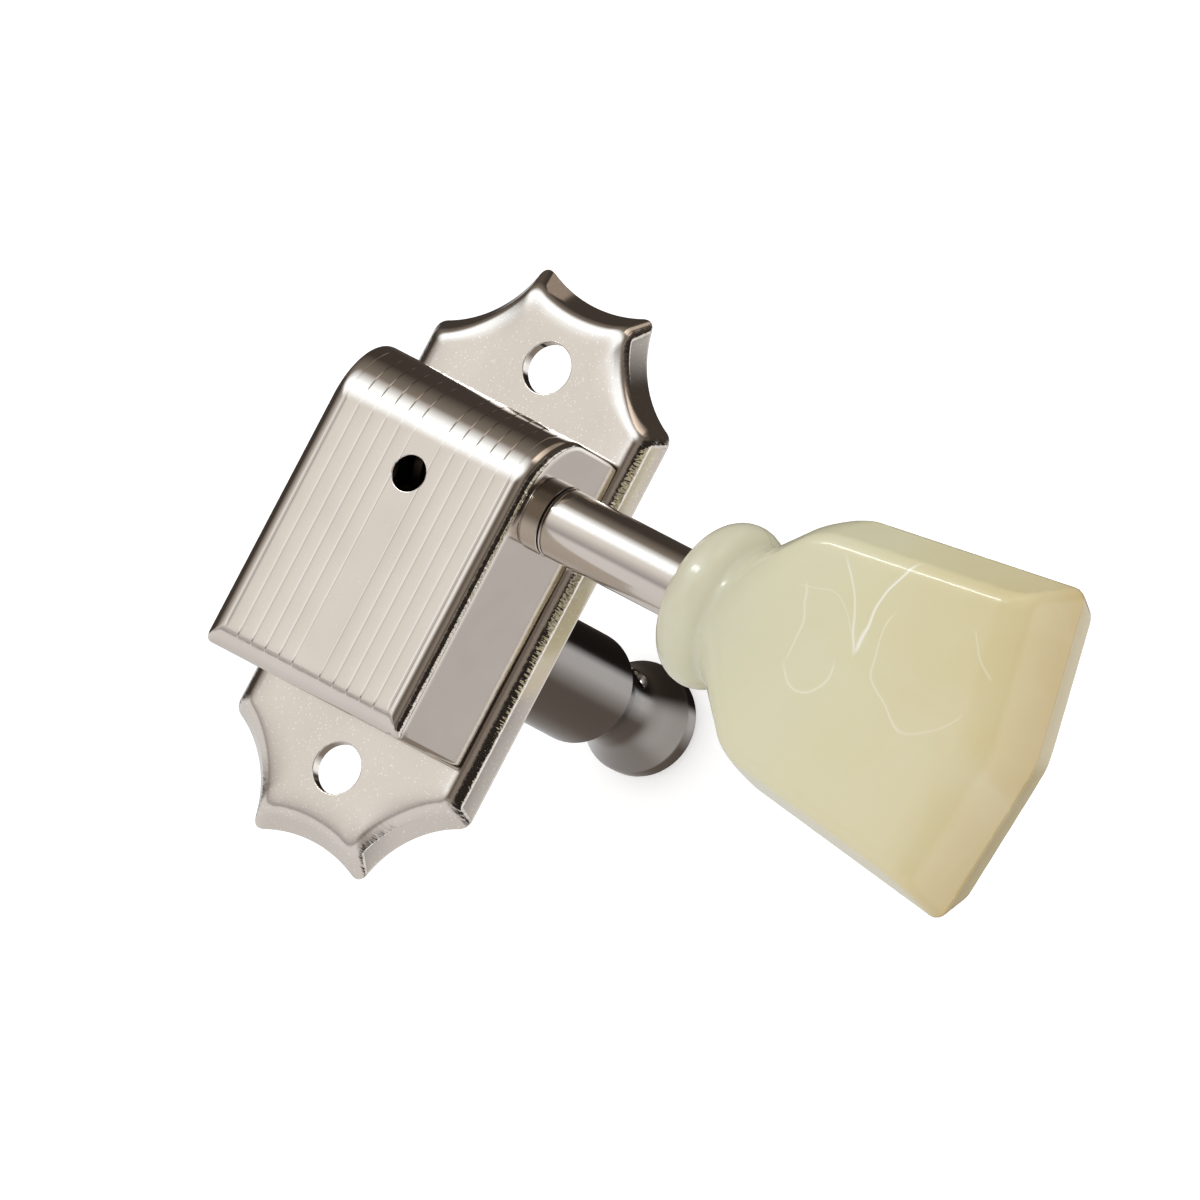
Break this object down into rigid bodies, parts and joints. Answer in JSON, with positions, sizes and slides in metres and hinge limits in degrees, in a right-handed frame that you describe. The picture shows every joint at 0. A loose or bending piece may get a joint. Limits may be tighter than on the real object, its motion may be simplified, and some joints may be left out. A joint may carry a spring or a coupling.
{
  "type": "guitar tuning machine",
  "caption": "Guitar tuning machine: scalloped nickel base plate, ribbed folded cover, worm shaft with an ivory keystone button, and a string post driven by worm and wheel.",
  "frame": {"origin": "on the axis of the string post, in the plane where the rim of the base plate meets the headstock", "axes": "+Z out of the back of the cover, away from the headstock; +X along the worm shaft to the button; +Y from the string post towards the worm shaft"},
  "size_m": [0.0501, 0.0356, 0.0397],
  "materials": {
    "nickel_plate": "warm bright nickel plate on sheet steel, with a fine grain",
    "shaft_steel": "polished nickel-plated steel",
    "post_steel": "polished nickel-plated steel, darker by reflection",
    "inner_steel": "plain steel",
    "brass": "turned brass",
    "nylon": "plain nylon",
    "ivory_plastic": "glossy ivory plastic with faint swirls"
  },
  "bodies": {
    "housing": {"base_plate": "nickel_plate", "gear_cover": "nickel_plate", "worm_bracket": "inner_steel", "bracket_rivet_left": "inner_steel", "bracket_rivet_right": "inner_steel", "shaft_bush_button_side": "brass", "shaft_bush_tail_side": "brass", "post_bearing": "brass", "spring_washer": "inner_steel"},
    "worm_and_button": {"worm_shaft": "shaft_steel", "thrust_washer_button_side": "brass", "thrust_washer_tail_side": "brass", "tuning_button": "ivory_plastic"},
    "post_and_gear": {"string_post": "post_steel", "post_gear": "brass", "glide_washer": "nylon", "lock_washer": "inner_steel", "gear_screw": "inner_steel"}
  },
  "joints": [
    {"name": "button_turn", "type": "hinge", "parent": "housing", "child": "worm_and_button", "pos_m": [0, 0.0075, 0.00575], "axis": [1, 0, 0], "continuous": true},
    {"name": "post_turn", "type": "hinge", "parent": "housing", "child": "post_and_gear", "pos_m": [0, 0, 0], "axis": [0, 0, 1], "continuous": true}
  ],
  "couplings": [
    {"joint": "post_turn", "follows": "button_turn", "ratio": 0.066667}
  ]
}
